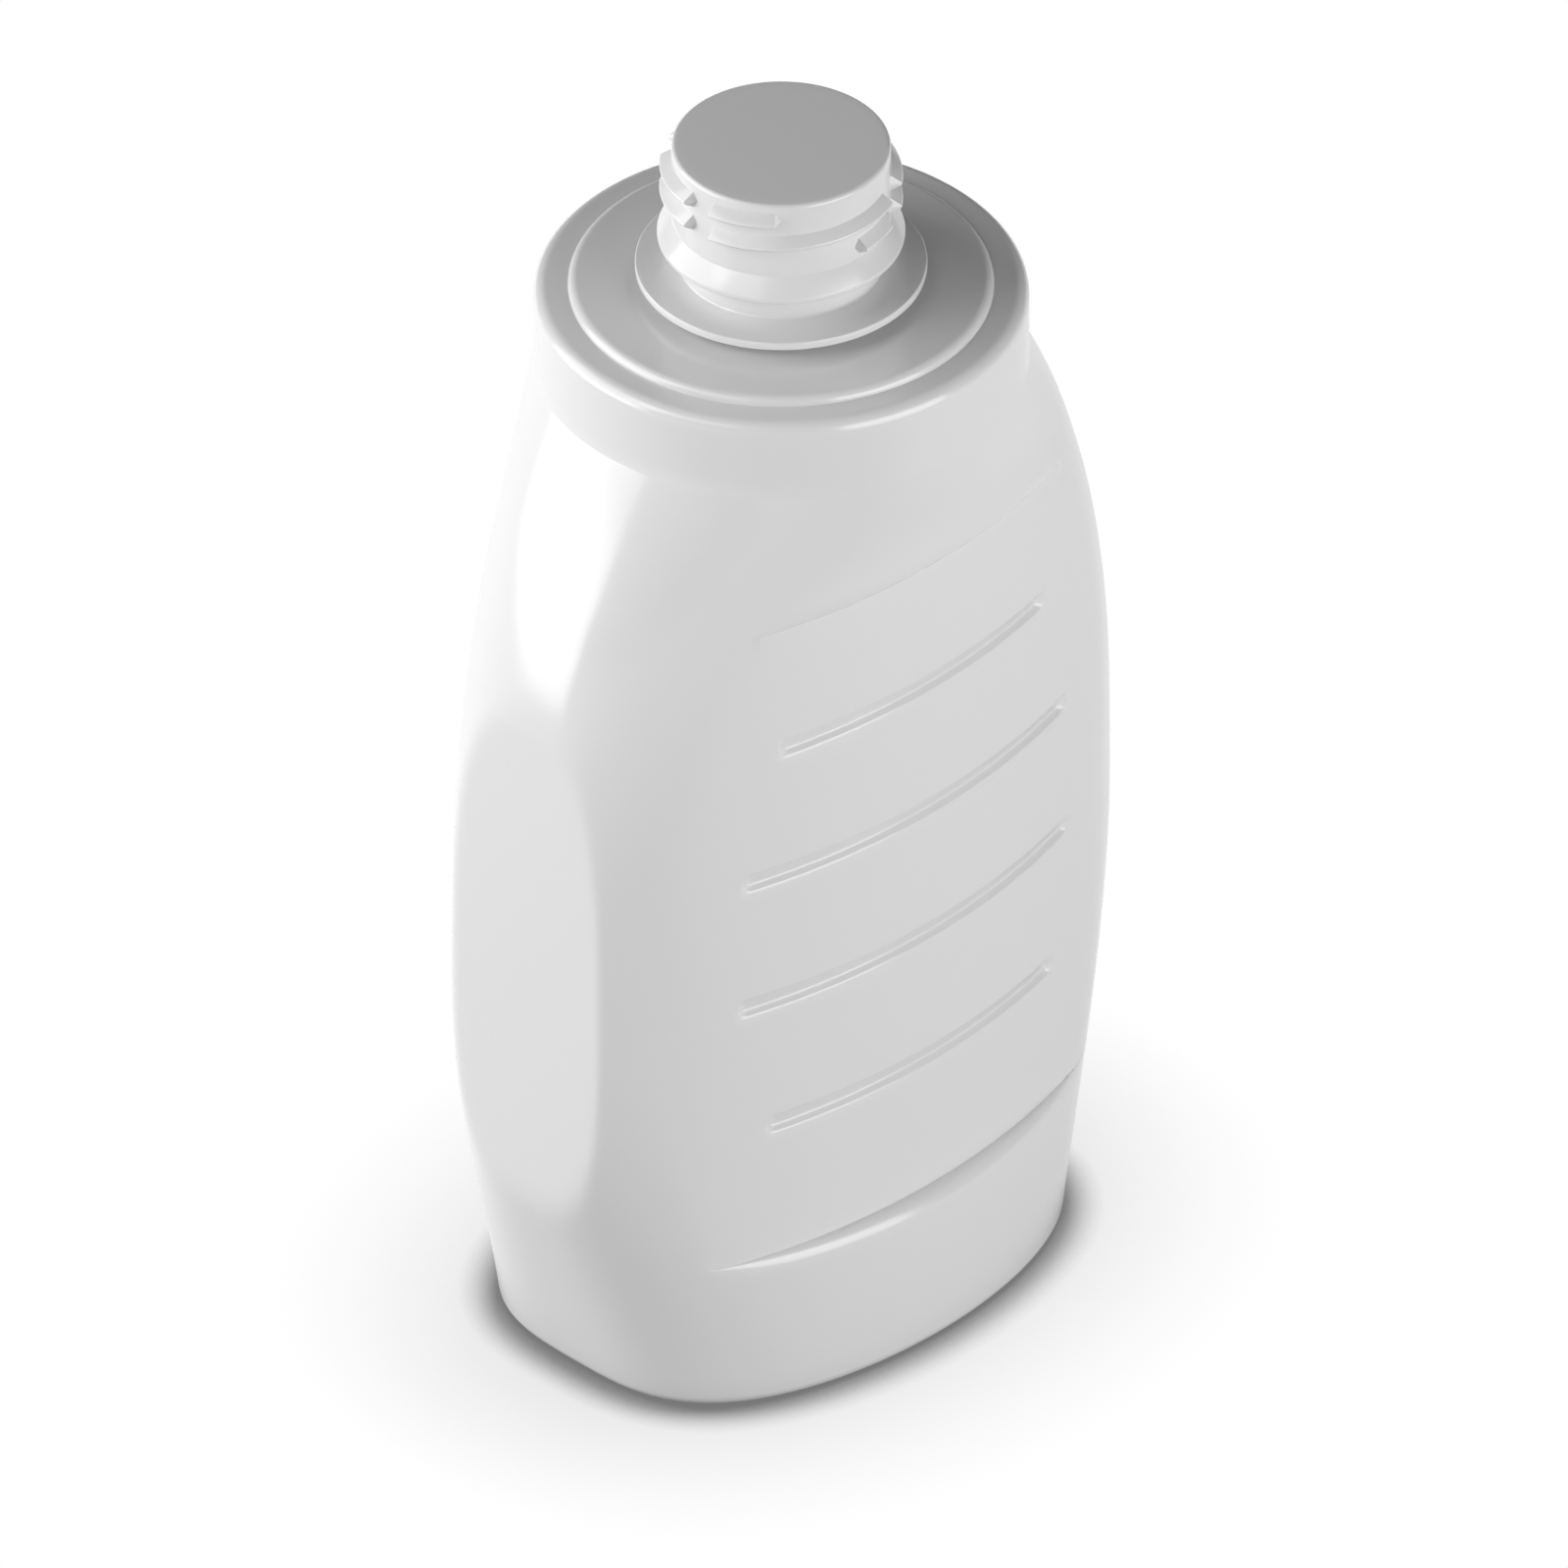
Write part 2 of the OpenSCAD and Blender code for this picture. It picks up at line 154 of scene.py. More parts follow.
class GripSizes(bpy.types.PropertyGroup):
    """Sizes of the two grip panels and their finger grooves."""
    half_gap: length("Half gap", "From the middle plane to the middle of a panel", 23.6)
    radius: length("Radius", "Radius of a panel, seen from above", 88.0)
    blend: length("Blend", "Softness of the edge between a panel and the barrel", 0.5)
    foot: length("Foot", "Height of the ledge at the foot of a panel", 20.45)
    top: length("Top", "Height of the top of a panel", 106.0)
    ledge_roll: length("Ledge roll", "Height of the rounded ledge under a panel", 2.2)
    brow_roll: length("Brow roll", "Height over which the body rolls in above a panel", 3.0)
    groove_count: bpy.props.IntProperty(name="Grooves", description="Finger grooves on a panel", default=4)
    groove_half: length("Groove half length", "Half of the longest groove", 25.5)
    groove_mid: length("Groove middle", "Height at which a groove would be longest", 61.0)
    groove_taper: number("Groove taper", "How fast the grooves get shorter away from there, for each metre", 7.06)
    groove_depth: length("Groove depth", "Depth of a groove", 0.87)
    groove_rise: length("Groove rise", "Height of the long flank over a groove's crease", 2.0)
    lip_step: length("Lip step", "Height and depth of the small step at a groove's upper lip", 0.12)
    groove_angle: angle("Groove angle", "Tilt of the short flank under a groove's crease", 52)
    lip_depth: length("Lip depth", "Depth at which the flank turns into the shallow lip", 0.2)
    lip_height: length("Lip height", "Height of the shallow lip under the flank", 1.09)
    crease_blend: length("Groove crease", "Half of the height over which a groove's crease is rounded", 0.16)
    end_r: length("Groove end", "Length of a groove's rounded end", 1.3)


class NeckSizes(bpy.types.PropertyGroup):
    """Sizes of the collar, the shoulder and the neck finish."""
    rim_r: length("Rim", "Radius of the collar's rim", 1.5)
    shoulder_z: length("Shoulder", "Height of the flat shoulder", 132.9)
    pad_r: length("Pad radius", "Radius of the raised pad on the shoulder", 24.05)
    pad_rise: length("Pad rise", "Rise of the pad over the shoulder, and radius of its edge", 1.0)
    neck_r: length("Neck radius", "Outer radius of the neck wall at the thread", 12.4)
    bore_r: length("Bore radius", "Radius of the pouring bore", 10.85)
    ledge_r: length("Ledge radius", "Radius of the support ledge", 16.5)
    ledge_t: length("Ledge thickness", "Thickness of the support ledge", 1.0)
    ledge_drop: length("Ledge drop", "From the sealed top down to the ledge's underside", 17.0)
    waist_r: length("Waist radius", "Radius of the slim wall between ledge and bead", 11.55)
    bead_r: length("Bead radius", "Radius of the locking bead", 14.0)
    bead_drop: length("Bead drop", "From the sealed top down to the bead's upper edge", 11.7)
    bead_rise: length("Bead rise", "Height of the bead's upper cone", 2.0)
    bead_edge: length("Bead edge", "Height of the bead's straight edge", 0.7)
    edge_r: length("Fine edge", "Radius of the small edges in the neck finish", 0.15)
    crest_r: length("Thread crest", "Radius over the thread's crest", 13.75)
    pitch: length("Thread pitch", "Pitch of the thread", 3.15)
    root: length("Thread root", "Height of the thread's root on the neck wall", 2.0)
    thread_drop: length("Thread drop", "From the sealed top down to the crest where the thread starts", 7.9)
    thread_start: angle("Thread start", "Direction in which the thread starts", 270)
    thread_turn: angle("Thread turn", "Angle that the thread runs through", 672)
    vent_half: angle("Vent", "Half of the opening that a venting gap leaves in the crest", 8)
    end_slope: angle("Thread end", "Angle over which a run of thread slopes down at its ends", 3)
    seal_r: length("Seal edge", "Radius of the sealing disc's upper edge", 0.5)


class FinishSettings(bpy.types.PropertyGroup):
    """Colours and gloss of the plastic."""
    white: tint("Plastic", "Colour of the bottle's plastic", "#DCDCDC")
    roughness: number("Roughness", "Roughness of the moulded skin", 0.17)
    ior: number("IOR", "Index of refraction of polyethylene", 1.54)


class StageSettings(bpy.types.PropertyGroup):
    """Camera, floor and world."""
    azimuth: angle("Camera azimuth", "Direction of the camera round the bottle", 225)
    elevation: angle("Camera elevation", "Height of the camera over the horizon", 35.264)
    view_w: length("View width", "Width of the picture at the bottle", 176.76)
    aim_z: length("Aim height", "Height on the bottle's axis in the middle of the picture", 63.83)
    aim_side: length("Aim to the side", "How far the picture's middle lies to the right of the axis", 0.33)
    floor: tint("Floor", "Colour of the paper, as the bottle is lit by it", "#8A8A8A")
    floor_glow: number("Floor glow", "Strength of the light that the floor gives off", 0.06)
    world: number("World", "Strength of the even light all round", 0.02)
    # The dark line and the faint shade round the bottle are painted shadow on the floor, drawn from occlusion
    contact_shadow_reach: length("Contact line", "Reach of the dark line where the bottle stands", 5.0)
    shade_reach: length("Shade", "Reach of the faint shade round the bottle", 26.0)


def sweep(z, z0, z1, v0, v1, s0, s1):
    """A cubic from v0 at z0 to v1 at z1, with slopes s0 and s1 at its ends."""
    h = z1 - z0
    t = (z - z0) / h
    rise = v0 * (2 * t ** 3 - 3 * t ** 2 + 1) + v1 * (3 * t ** 2 - 2 * t ** 3)
    return rise + h * s0 * (t ** 3 - 2 * t ** 2 + t) + h * s1 * (t ** 3 - t ** 2)


def ease(z, z0, z1):
    """An S-shaped step from 0 at z0 to 1 at z1."""
    t = min(1, max(0, (z - z0) / (z1 - z0)))
    return t * t * (3 - 2 * t)


def soft_min(a, b, blend):
    """The smaller of two sizes, with a soft change from one to the other."""
    near = np.maximum(0, blend - np.abs(a - b))
    return np.minimum(a, b) - near ** 2 / (4 * blend)


def half_width(body, z):
    """Half of the barrel's width at a height, before its ends are flattened."""
    if z < body.belly_z:
        return sweep(z, 0, body.belly_z, body.foot_half_w, body.belly_half_w, body.foot_slope, 0)
    return sweep(z, body.belly_z, body.height, body.belly_half_w, BOTTLE_HIGH.y, 0, body.collar_slope)


def half_depth(body, z):
    """Half of the barrel's depth at a height, before its faces are cut."""
    if z < body.belly_z:
        return sweep(z, 0, body.belly_z, body.foot_half_d, body.belly_half_d, body.foot_slope_d, 0)
    if z < body.brow_z:
        return sweep(z, body.belly_z, body.brow_z, body.belly_half_d, body.brow_half_d, 0, 0)
    return sweep(z, body.brow_z, body.height, body.brow_half_d, BOTTLE_HIGH.y, 0, body.collar_slope_d)


def section_power(body, z, foot, belly, brow):
    """A power of the barrel's section at a height: 2 is an ellipse, more is squarer."""
    if z < body.belly_z:
        return foot + (belly - foot) * ease(z, 0, body.belly_z)
    if z < body.brow_z:
        return belly + (brow - belly) * ease(z, body.belly_z, body.brow_z)
    return brow + (2 - brow) * ease(z, body.brow_z, body.height)


def quarter_section(body, grip, z, inset, cut):
    """Fine points of a quarter of the section, from the middle of a face out to the end."""
    across = np.sin(np.linspace(0, math.pi / 2, SECTION_POINTS))
    width = half_width(body, z) - inset
    depth = half_depth(body, z) - inset
    power_w = section_power(body, z, body.foot_power_w, body.belly_power_w, body.brow_power_w)
    power_d = section_power(body, z, body.foot_power_d, body.belly_power_d, body.brow_power_d)
    x = soft_min(width * across, BOTTLE_HIGH.x - inset, body.end_blend)
    y = depth * np.maximum(0, 1 - across ** power_w) ** (1 / power_d)
    panel = grip.half_gap - grip.radius + np.sqrt(grip.radius ** 2 - x ** 2) - inset
    return x, y + cut * (soft_min(y, panel, grip.blend) - y)


def panel_stations():
    """Where columns cross a grip panel, crowded where the grooves end."""
    middle = np.linspace(0, GROOVE_ENDS[0], MIDDLE_COLUMNS, endpoint=False)
    ends = np.linspace(*GROOVE_ENDS, PANEL_COLUMNS - MIDDLE_COLUMNS + 1)
    return np.concatenate([middle, ends])


def column_points(body, grip, z, inset, cut):
    """The columns' points on a quarter of the section: level across the panels, even at foot and collar."""
    x, y = quarter_section(body, grip, z, inset, cut)
    run = np.concatenate([[0], np.cumsum(np.hypot(np.diff(x), np.diff(y)))])
    face = x < BOTTLE_HIGH.y - 0.2 * MM
    panel = np.interp(panel_stations(), x[face], run[face])
    side = np.linspace(panel[-1], run[-1], QUARTER - PANEL_COLUMNS + 1)[1:]
    level = np.concatenate([panel, side])
    even = np.linspace(0, run[-1], QUARTER + 1)
    share = 1 - ease(z, *LEVEL_FROM) * (1 - ease(z, *EVEN_FROM))
    run_at = level + share * (even - level)
    return np.interp(run_at, run, x), np.interp(run_at, run, y)


def groove_depth(grip, x, z):
    """How deep the grooves cut into a panel at its points."""
    straight = (grip.groove_depth - grip.lip_depth) / math.tan(grip.groove_angle)
    drop = straight + grip.lip_height
    pitch = (grip.top - grip.foot) / (grip.groove_count + 1)
    deepest = np.zeros_like(x)
    for i in range(1, grip.groove_count + 1):
        crease = grip.foot + i * pitch
        half = grip.groove_half - grip.groove_taper * (crease - grip.groove_mid) ** 2
        past = np.maximum(0, np.abs(x) - half) / grip.end_r
        off = (z - crease) / (grip.groove_rise if z > crease else drop)
        away = np.hypot(past, off)
        step = grip.lip_step * np.clip((1 - away) * grip.groove_rise / grip.lip_step, 0, 1)
        upper = step + (grip.groove_depth - grip.lip_step) * (1 - away)
        lip = np.clip((1 - away) * drop / grip.lip_height, 0, 1)
        lower = np.where(
            away * drop < straight,
            grip.groove_depth - away * drop * math.tan(grip.groove_angle),
            grip.lip_depth * lip ** 2)
        share = (1 + off / np.maximum(away, 1e-9)) / 2
        depth = np.where(away < 1, share * upper + (1 - share) * lower, 0)
        bend = grip.groove_depth / grip.groove_rise + math.tan(grip.groove_angle)
        near = max(0, grip.crease_blend - abs(z - crease)) * np.clip(1 - past, 0, 1)
        depth = depth - bend / (4 * grip.crease_blend) * near ** 2
        deepest = np.maximum(deepest, depth)
    return deepest


def mirrored_ring(x, y, z):
    """A whole ring from a quarter of it, from +X round by +Y, -X and -Y."""
    xs = np.concatenate([x[::-1], -x[1:], -x[-2::-1], x[1:-1]])
    ys = np.concatenate([y[::-1], y[1:], -y[-2::-1], -y[1:-1]])
    return np.stack([xs, ys, np.full(len(xs), z)], axis=1)


def body_ring(body, grip, z, inset=0.0, cut=0.0, scale=1.0, height=None):
    """A ring of the blown body: at a height, set in from the barrel, on the panel by the share cut."""
    x, y = column_points(body, grip, z, inset, cut)
    if cut == 1:
        y = y - groove_depth(grip, x, z)
    return mirrored_ring(x * scale, y * scale, z if height is None else height)


def round_ring(radius, z):
    """A round ring of the neck or shoulder."""
    turn = np.arange(RING) * 2 * math.pi / RING
    return np.stack([radius * np.cos(turn), radius * np.sin(turn), np.full(RING, z)], axis=1)


def arc(x, z, radius, start, end, steps):
    """Points of an arc about x, z, with its angles in degrees."""
    turn = np.radians(np.linspace(start, end, steps + 1))
    return [(x + radius * math.cos(t), z + radius * math.sin(t)) for t in turn]


def spread(low, high, gap):
    """Even heights between two, without either, about a gap apart."""
    count = max(1, round((high - low) / gap))
    return [low + (high - low) * i / count for i in range(1, count)]


def groove_levels(grip):
    """Heights at which the rings pass each groove, close together where it bends."""
    straight = (grip.groove_depth - grip.lip_depth) / math.tan(grip.groove_angle)
    pitch = (grip.top - grip.foot) / (grip.groove_count + 1)
    lip = [-straight - grip.lip_height * (1 - i / 7) for i in range(8)]
    rise = [grip.groove_rise * share for share in (0.2, 0.4, 0.6, 0.8, 0.88, 0.94, 1.0, 1.03)]
    below = [lip[0] - SUPPORT]
    levels = []
    last = grip.foot
    for i in range(1, grip.groove_count + 1):
        crease = grip.foot + i * pitch
        bend = [grip.crease_blend * share for share in (-1, -0.6, -0.3, 0, 0.3, 0.6, 1)]
        group = [crease + dz for dz in below + lip + [-straight * 0.92, -straight * 0.5] + bend + rise]
        levels += spread(last, group[0], BODY_GAP) + group
        last = group[-1]
    return levels + spread(last, grip.top, BODY_GAP)


def outer_rings(body, grip):
    """Rings of the body's outside, from the middle of the base up to the collar."""
    rings = []
    for share in (0.04, 0.2, 0.4, 0.55, 0.68, 0.78, 0.86, 0.92, 0.96, 0.985, 1.0):
        rise = body.push_up * (1 - share ** 4)
        rings.append(body_ring(body, grip, 0, body.foot_r, 0, body.ring_share * share, rise))
    rings.append(body_ring(body, grip, 0, body.foot_r, 0, (1 + body.ring_share) / 2))
    for t in np.linspace(0, math.pi / 2, 9):
        z = body.foot_r * (1 - math.cos(t))
        rings.append(body_ring(body, grip, z, body.foot_r * (1 - math.sin(t))))
    ledge_low = grip.foot - grip.ledge_roll
    rings += [body_ring(body, grip, z) for z in spread(body.foot_r, ledge_low, BODY_GAP)]
    for t in np.linspace(math.pi / 2, 0, 14):
        z = grip.foot - grip.ledge_roll * (1 - math.cos(t))
        rings.append(body_ring(body, grip, z, 0, 1 - math.sin(t)))
    rings += [body_ring(body, grip, z, 0, 1) for z in groove_levels(grip)]
    for t in np.linspace(0, math.pi / 2, 14):
        z = grip.top + grip.brow_roll * (1 - math.cos(t))
        rings.append(body_ring(body, grip, z, 0, 1 - math.sin(t)))
    top = grip.top + grip.brow_roll
    last = body.height - 0.15 * MM
    rings += [body_ring(body, grip, z) for z in spread(top, last, BROW_GAP)]
    rings.append(body_ring(body, grip, last))
    return rings


def neck_profile(body, neck):
    """Points of the collar, shoulder and neck, from the collar's foot over the mouth and into the bore."""
    collar_r = BOTTLE_HIGH.y
    fine = neck.edge_r
    pad_z = neck.shoulder_z + neck.pad_rise
    ledge_z = SEAL_HIGH.z - neck.ledge_drop
    ledge_top = ledge_z + neck.ledge_t
    bead_z = SEAL_HIGH.z - neck.bead_drop
    edge_z = bead_z - neck.bead_edge
    ceiling_z = neck.shoulder_z - body.wall
    rim_z = neck.shoulder_z - neck.rim_r
    rim_in = collar_r - body.wall
    foot_r = 0.8 * MM
    bead_under = 0.6 * MM
    collar = [(collar_r, z) for z in np.linspace(body.height, rim_z, 5)[:-1]]
    rim = arc(collar_r - neck.rim_r, rim_z, neck.rim_r, 0, 90, 12)
    rim += [(collar_r - neck.rim_r - SUPPORT, neck.shoulder_z), (neck.pad_r + SUPPORT, neck.shoulder_z)]
    pad = arc(neck.pad_r - neck.pad_rise, neck.shoulder_z, neck.pad_rise, 0, 90, 9)
    pad += [(neck.pad_r - neck.pad_rise - SUPPORT, pad_z), (neck.neck_r + foot_r + SUPPORT, pad_z)]
    pad += arc(neck.neck_r + foot_r, pad_z + foot_r, foot_r, 270, 180, 4)
    ledge = [(neck.neck_r, ledge_z - fine), (neck.neck_r + fine, ledge_z)]
    ledge += [(neck.ledge_r - 2 * fine, ledge_z)]
    ledge += arc(neck.ledge_r - fine, ledge_z + fine, fine, -90, 0, 3)
    ledge += arc(neck.ledge_r - fine, ledge_top - fine, fine, 0, 90, 3)
    ledge += [(neck.ledge_r - 2 * fine, ledge_top)]
    waist = [(neck.waist_r + fine, ledge_top), (neck.waist_r, ledge_top + fine)]
    bead = [(neck.waist_r, edge_z - bead_under), (neck.bead_r - bead_under, edge_z)]
    bead += arc(neck.bead_r - fine, edge_z + fine, fine, -90, 0, 3)
    bead += arc(neck.bead_r - fine, bead_z - fine, fine, 0, 45, 2)
    cone = [(neck.neck_r + fine, bead_z + neck.bead_rise - fine), (neck.neck_r, bead_z + neck.bead_rise)]
    mouth = [(neck.neck_r, SEAL_LOW.z), (neck.bore_r, SEAL_LOW.z)]
    bore_foot = ceiling_z + body.wall
    bore = [(neck.bore_r, bore_foot)]
    bore += arc(neck.bore_r + body.wall, bore_foot, body.wall, 180, 270, 4)
    inside = arc(rim_in - neck.rim_r, ceiling_z - neck.rim_r, neck.rim_r, 90, 0, 4)
    return collar + rim + pad + ledge + waist + bead + cone + mouth + bore + inside


def inner_rings(body, grip):
    """Rings of the body's inside, from the collar down to the middle of the base.

    It is hidden, so it passes each groove on three rings and doesn't follow it closer.
    """
    wall = body.wall
    top = grip.top + grip.brow_roll
    pitch = (grip.top - grip.foot) / (grip.groove_count + 1)
    levels = [(z, 0) for z in np.linspace(body.height, top + wall, 6)] + [(grip.top + wall, 1)]
    for i in range(grip.groove_count, 0, -1):
        levels += [(grip.foot + i * pitch + dz * MM, 1) for dz in (2.6, 0, -1.8)]
    levels += [(grip.foot - wall, 1), (grip.foot - grip.ledge_roll - wall, 0), (grip.foot / 2, 0)]
    levels += [(body.foot_r + wall, 0)]
    rings = [body_ring(body, grip, z, wall, cut) for z, cut in levels]
    for share in (1.0, 0.9, 0.7, 0.4, 0.05):
        rise = wall + body.push_up * (1 - share ** 4)
        rings.append(body_ring(body, grip, 0, body.foot_r + wall, 0, share, rise))
    return rings


def skin_faces(rings):
    """Quads between the rings, and a fan that closes each end on its own middle point."""
    start = np.arange(rings - 1)[:, None] * RING
    column = np.arange(RING)[None, :]
    after = (column + 1) % RING
    quads = np.stack([start + column, start + after, start + RING + after, start + RING + column], axis=2)
    first, last = rings * RING, rings * RING + 1
    top = (rings - 1) * RING
    fans = [(first, (i + 1) % RING, i) for i in range(RING)]
    fans += [(last, top + i, top + (i + 1) % RING) for i in range(RING)]
    return [tuple(q) for q in quads.reshape(-1, 4).tolist()] + fans


def thread_gaps(neck):
    """Directions of the venting gaps along the thread, in degrees from its start."""
    start = math.degrees(neck.thread_start)
    turn = math.degrees(neck.thread_turn)
    around = [360 * n + gap for n in range(4) for gap in (0, 120, 180, 300)]
    return [gap for gap in around if start + SHORTEST_RUN < gap < start + turn - SHORTEST_RUN]


def thread_run(neck, start, end):
    """Vertices and faces of one run of thread between two directions, sloping down at its ends."""
    sink = 0.4 * MM
    crest_flat = 0.12 * MM
    slope = math.degrees(neck.end_slope)
    root_r = neck.neck_r - sink
    half_root = neck.root / 2 * (1 + sink / (neck.crest_r - neck.neck_r))
    crest_round = 0.12 * MM
    section = [(root_r, -half_root), (neck.crest_r - crest_round, -crest_flat - crest_round * 0.9),
               (neck.crest_r - crest_round * 0.3, -crest_flat), (neck.crest_r, 0),
               (neck.crest_r - crest_round * 0.3, crest_flat),
               (neck.crest_r - crest_round, crest_flat + crest_round * 0.9), (root_r, half_root)]
    steps = max(2, math.ceil((end - start) / 1.5))
    turns = [start + (end - start) * i / steps for i in range(steps + 1)]
    crest_z = SEAL_HIGH.z - neck.thread_drop
    thread_start = math.degrees(neck.thread_start)

    def at(radius, turn, dz):
        z = crest_z + neck.pitch * (turn - thread_start) / 360 + dz
        return (radius * math.cos(math.radians(turn)), radius * math.sin(math.radians(turn)), z)

    verts = [at(r, t, dz) for t in turns for r, dz in section]
    size = len(section)
    reach = slope * (neck.crest_r - root_r) / (neck.crest_r - neck.neck_r)
    verts += [at(root_r, start - reach, 0), at(root_r, end + reach, 0)]
    faces = []
    for s in range(steps):
        for k in range(size):
            a, b = s * size + k, s * size + (k + 1) % size
            faces.append((a, a + size, b + size, b))
    first, last = len(verts) - 2, len(verts) - 1
    faces += [(first, k, (k + 1) % size) for k in range(size)]
    faces += [(last, steps * size + (k + 1) % size, steps * size + k) for k in range(size)]
    return verts, faces


def thread(neck):
    """Vertices and faces of the whole thread, broken by its venting gaps."""
    vent = math.degrees(neck.vent_half)
    start = math.degrees(neck.thread_start)
    gaps = thread_gaps(neck)
    starts = [start] + [gap + vent for gap in gaps]
    ends = [gap - vent for gap in gaps] + [start + math.degrees(neck.thread_turn)]
    verts, faces = [], []
    for low, high in zip(starts, ends):
        if high - low > SHORTEST_RUN:
            run_verts, run_faces = thread_run(neck, low, high)
            faces += [tuple(i + len(verts) for i in face) for face in run_faces]
            verts += run_verts
    return verts, faces


def add_node(tree, kind, settings=None, **links):
    """Adds a shader node, sets its sockets and properties, and links sockets given as other nodes' outputs."""
    node = tree.nodes.new(kind)
    for key, value in (settings or {}).items():
        if hasattr(node, key):
            setattr(node, key, value)
        else:
            node.inputs[key].default_value = value
    for key, output in links.items():
        name = key.replace("_", " ")
        socket = node.inputs[name] if name in node.inputs else node.inputs[int(key[1:])]
        tree.links.new(output, socket)
    return node


def new_material(name):
    """An empty node material and its output node."""
    material = bpy.data.materials.new(name)
    material.use_nodes = True
    material.node_tree.nodes.clear()
    return material, material.node_tree


def blown_polyethylene(finish):
    """White HDPE, blown in a polished mould: an even, glossy skin with a faint orange peel."""
    material, tree = new_material("blown_polyethylene")
    place = add_node(tree, "ShaderNodeTexCoord")
    # Soft waves about 9 mm apart, so that reflections swim a little, as on any blown wall
    waves = add_node(tree, "ShaderNodeTexNoise", {"Scale": 1 / (9 * MM), "Detail": 1.0, "Roughness": 0.4},
                     Vector=place.outputs["Object"])
    # Orange peel about 1.2 mm across, coarser than life so that it just shows
    peel = add_node(tree, "ShaderNodeTexNoise", {"Scale": 1 / (1.2 * MM), "Detail": 2.0, "Roughness": 0.5},
                    Vector=place.outputs["Object"])
    gloss = add_node(tree, "ShaderNodeMapRange",
                     {"To Min": finish.roughness - 0.03, "To Max": finish.roughness + 0.03},
                     Value=waves.outputs["Fac"])
    skin = add_node(tree, "ShaderNodeBump", {"Strength": 0.04, "Distance": 0.02 * MM},
                    Height=peel.outputs["Fac"])
    plastic = add_node(tree, "ShaderNodeBsdfPrincipled",
                       {"Base Color": (*finish.white, 1), "IOR": finish.ior},
                       Roughness=gloss.outputs["Result"], Normal=skin.outputs["Normal"])
    add_node(tree, "ShaderNodeOutputMaterial", Surface=plastic.outputs["BSDF"])
    return material


def white_floor(stage):
    """White paper that the camera sees as pure white, with painted shadow only where the bottle stands on it."""
    material, tree = new_material("white_paper")
    # What the bottle is lit by: matt paper with a weak glow, as a lit studio floor has
    paper = add_node(tree, "ShaderNodeBsdfDiffuse", {"Color": (*stage.floor, 1)})
    glow = add_node(tree, "ShaderNodeEmission", {"Color": (1, 1, 1, 1), "Strength": stage.floor_glow})
    lit = add_node(tree, "ShaderNodeAddShader", _0=paper.outputs["BSDF"], _1=glow.outputs["Emission"])
    # What is seen: painted shadow from occlusion, a tight dark line at the foot and a wide faint shade round it
    tight = add_node(tree, "ShaderNodeAmbientOcclusion", {"Distance": stage.contact_shadow_reach, "samples": 6})
    wide = add_node(tree, "ShaderNodeAmbientOcclusion", {"Distance": stage.shade_reach, "samples": 6})
    line = add_node(tree, "ShaderNodeMapRange",
                    {"From Min": 0.52, "From Max": 0.93, "To Min": 0.24, "To Max": 1.0},
                    Value=tight.outputs["AO"])
    shade = add_node(tree, "ShaderNodeMapRange",
                     {"From Min": 0.5, "From Max": 1.0, "To Min": 0.78, "To Max": 1.0},
                     Value=wide.outputs["AO"])
    both = add_node(tree, "ShaderNodeMath", {"operation": "MULTIPLY"},
                    _0=line.outputs["Result"], _1=shade.outputs["Result"])
    # Emission whose strength is the painted shadow, seen by camera, glossy and transmission rays
    seen = add_node(tree, "ShaderNodeEmission", {"Color": (1, 1, 1, 1)}, Strength=both.outputs["Value"])
    path = add_node(tree, "ShaderNodeLightPath")
    mirror = add_node(tree, "ShaderNodeMath", {"operation": "MAXIMUM"},
                      _0=path.outputs["Is Glossy Ray"], _1=path.outputs["Is Transmission Ray"])
    shown = add_node(tree, "ShaderNodeMath", {"operation": "MAXIMUM"},
                     _0=path.outputs["Is Camera Ray"], _1=mirror.outputs["Value"])
    mixed = add_node(tree, "ShaderNodeMixShader", _0=shown.outputs["Value"],
                     _1=lit.outputs["Shader"], _2=seen.outputs["Emission"])
    add_node(tree, "ShaderNodeOutputMaterial", Surface=mixed.outputs["Shader"])
    return material


def new_piece(name, verts, faces, material):
    """A smooth mesh object whose sharp edges stay crisp."""
    mesh = bpy.data.meshes.new(name)
    mesh.from_pydata(verts, [], faces)
    mesh.validate()
    mesh.shade_smooth()
    mesh.set_sharp_from_angle(angle=SHARP_ANGLE)
    mesh.materials.append(material)
    piece = bpy.data.objects.new(name, mesh)
    bpy.context.scene.collection.objects.link(piece)
    return piece


def shared_finish(finish):
    """The one plastic that both pieces are made of."""
    return bpy.data.materials.get("blown_polyethylene") or blown_polyethylene(finish)


class BOTTLE_OT_blown_body(bpy.types.Operator):
    """Blown body with its grip panels, collar, neck finish and interrupted thread, in one piece."""
    bl_idname = "bottle.blown_body"
    bl_label = "Blown body"

    def execute(self, context):
        scene = context.scene
        body, grip, neck = scene.body_sizes, scene.grip_sizes, scene.neck_sizes
        rings = outer_rings(body, grip)
        rings += [round_ring(radius, z) for radius, z in neck_profile(body, neck)]
        rings += inner_rings(body, grip)
        middles = [(0, 0, rings[0][0][2]), (0, 0, rings[-1][0][2])]
        verts = np.concatenate(rings).tolist() + middles
        faces = skin_faces(len(rings))
        thread_verts, thread_faces = thread(neck)
        faces += [tuple(i + len(verts) for i in face) for face in thread_faces]
        piece = new_piece("bottle_skin", verts + thread_verts, faces, shared_finish(scene.finish_settings))
        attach(piece, "root")
        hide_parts("bottle")
        return {"FINISHED"}


